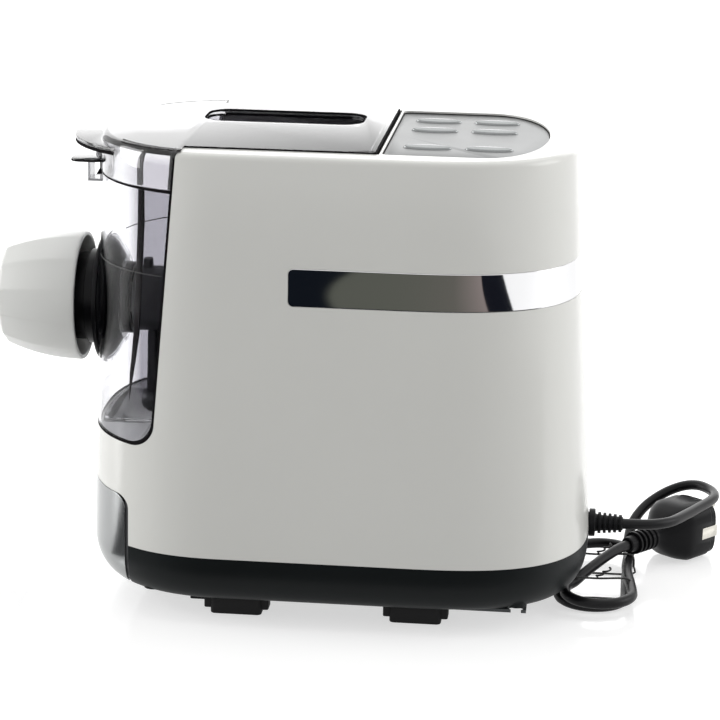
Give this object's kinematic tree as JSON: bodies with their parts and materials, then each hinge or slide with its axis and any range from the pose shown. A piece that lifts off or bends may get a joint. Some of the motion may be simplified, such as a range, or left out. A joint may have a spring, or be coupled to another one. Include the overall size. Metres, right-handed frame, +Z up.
{
  "type": "electric pasta maker",
  "caption": "Free-standing electric pasta maker: white tapering body, clear mixing chamber and hinged lid, auger with screw-on nut, push-button panel, disc drawer and mains lead.",
  "frame": {"origin": "on the table, under the middle of the machine's length (nut front to body rear) and of its width", "axes": "+X runs from the extruding nut to the rear of the body, +Z up, +Y to the side away from the viewer of the nut's left-hand side view"},
  "size_m": [0.4457, 0.2058, 0.283],
  "materials": {
    "auger_black": "smooth",
    "band_mirror": "vacuum metallised mirror",
    "base_charcoal": "fine satin charcoal moulding",
    "board_green": "solder resist",
    "bronze": "sintered bronze",
    "button_silver": "silver lacquer, smooth",
    "case_alloy": "as cast",
    "clear_lid": "clear, faint lilac smoke tint",
    "clear_smoky": "clear, faint lilac smoke tint",
    "copper": "enamelled wire",
    "cord_black": "PVC, satin",
    "disc_white": "satin moulding",
    "drawer_silver": "silver lacquer",
    "foot_rubber": "soft matt rubber",
    "frame_steel": "galvanised sheet",
    "gear_cream": "moulded",
    "head_black": "gloss moulding",
    "lamination": "stacked laminations",
    "liner_dark": "fine texture",
    "motor_cap": "as cast",
    "nut_white": "gloss white moulding",
    "paddle_dark": "smooth",
    "panel_silver": "satin silver lacquer",
    "part_mixed": "moulded",
    "pin_nickel": "nickel plated",
    "pin_steel": "ground",
    "plate_charcoal": "fine satin charcoal moulding",
    "plug_black": "PVC, satin",
    "plunger_red": "moulded",
    "screw_steel": "zinc plated",
    "seal_black": "soft rubber",
    "shell_white": "gloss white moulding",
    "switch_black": "moulded",
    "tie_black": "coated wire",
    "tray_grey": "moulded",
    "wire_brown": "insulation"
  },
  "bodies": {
    "housing": {"body_shell": "shell_white", "base_tray": "base_charcoal", "bottom_plate": "plate_charcoal", "feet": "foot_rubber", "base_screws": "screw_steel", "trim_band": "band_mirror", "panel_plate": "panel_silver", "panel_board": "board_green", "tact_switches": "switch_black", "bay_liner": "liner_dark", "chassis_frame": "frame_steel", "gearbox_case": "case_alloy", "gearbox_cover": "case_alloy", "shaft_bushes": "bronze", "motor_stator": "lamination", "motor_coils": "copper", "motor_end_caps": "motor_cap", "motor_bushes": "bronze", "motor_cradle": "liner_dark", "power_board": "board_green", "board_parts": "part_mixed", "wiring": "wire_brown", "interlock_switch": "switch_black", "mixing_chamber": "clear_smoky", "shaft_seal": "seal_black", "extruder_head": "head_black", "shaping_disc": "disc_white", "cord_bushing": "plug_black", "cord_lead": "cord_black", "cord_hank": "cord_black", "cord_tail": "cord_black", "plug_body": "plug_black", "plug_pins": "pin_nickel", "plug_earth_clips": "pin_nickel", "cord_ties": "tie_black", "idler_axle": "pin_steel"},
    "lid": {"lid": "clear_lid", "lid_hinge_pins": "pin_steel", "latch_pin": "pin_steel"},
    "latch": {"lid_latch": "clear_lid"},
    "drawer": {"drawer_front": "drawer_silver", "drawer_tray": "tray_grey", "spare_discs": "disc_white"},
    "nut": {"extruder_nut": "nut_white"},
    "mixer": {"auger": "auger_black", "mixing_paddle": "paddle_dark", "drive_pin": "pin_steel", "output_shaft": "pin_steel", "output_gear": "gear_cream"},
    "idler": {"idler_gear": "gear_cream"},
    "rotor": {"motor_rotor": "lamination", "motor_pinion": "bronze", "cooling_fan": "switch_black"},
    "plunger": {"interlock_plunger": "plunger_red"},
    "button_1": {"button_1": "button_silver"},
    "button_2": {"button_2": "button_silver"},
    "button_3": {"button_3": "button_silver"},
    "button_4": {"button_4": "button_silver"},
    "button_5": {"button_5": "button_silver"},
    "button_6": {"button_6": "button_silver"}
  },
  "joints": [
    {"name": "lid_hinge", "type": "hinge", "parent": "housing", "child": "lid", "pos_m": [0.04875, 0, 0.2793], "axis": [0, 1, 0], "range_deg": [0, 85]},
    {"name": "latch_hinge", "type": "hinge", "parent": "lid", "child": "latch", "pos_m": [-0.12075, 0, 0.265], "axis": [0, 1, 0], "range_deg": [0, 25], "stiffness_Nm_per_rad": 0.02},
    {"name": "drawer_slide", "type": "slide", "parent": "housing", "child": "drawer", "axis": [-1, 0, 0], "range_m": [0, 0.08]},
    {"name": "nut_turn", "type": "hinge", "parent": "housing", "child": "nut", "pos_m": [-0.15675, 0, 0.1745], "axis": [-1, 0, 0], "range_deg": [0, 120]},
    {"name": "button_1_press", "type": "slide", "parent": "housing", "child": "button_1", "axis": [0, 0, -1], "range_m": [0, 0.0008], "stiffness_N_per_m": 600},
    {"name": "button_2_press", "type": "slide", "parent": "housing", "child": "button_2", "axis": [0, 0, -1], "range_m": [0, 0.0008], "stiffness_N_per_m": 600},
    {"name": "button_3_press", "type": "slide", "parent": "housing", "child": "button_3", "axis": [0, 0, -1], "range_m": [0, 0.0008], "stiffness_N_per_m": 600},
    {"name": "button_4_press", "type": "slide", "parent": "housing", "child": "button_4", "axis": [0, 0, -1], "range_m": [0, 0.0008], "stiffness_N_per_m": 600},
    {"name": "button_5_press", "type": "slide", "parent": "housing", "child": "button_5", "axis": [0, 0, -1], "range_m": [0, 0.0008], "stiffness_N_per_m": 600},
    {"name": "button_6_press", "type": "slide", "parent": "housing", "child": "button_6", "axis": [0, 0, -1], "range_m": [0, 0.0008], "stiffness_N_per_m": 600},
    {"name": "mixer_turn", "type": "hinge", "parent": "housing", "child": "mixer", "pos_m": [0, 0, 0.1745], "axis": [1, 0, 0], "continuous": true},
    {"name": "idler_turn", "type": "hinge", "parent": "housing", "child": "idler", "pos_m": [0.07425, 0, 0.13512], "axis": [1, 0, 0], "continuous": true},
    {"name": "rotor_turn", "type": "hinge", "parent": "housing", "child": "rotor", "pos_m": [0.11425, 0, 0.09638], "axis": [1, 0, 0], "continuous": true},
    {"name": "plunger_press", "type": "slide", "parent": "housing", "child": "plunger", "axis": [0, 0, -1], "range_m": [0, 0.001], "stiffness_N_per_m": 200}
  ],
  "couplings": [
    {"joint": "idler_turn", "follows": "mixer_turn", "ratio": -3.8462},
    {"joint": "rotor_turn", "follows": "mixer_turn", "ratio": 16.026}
  ]
}
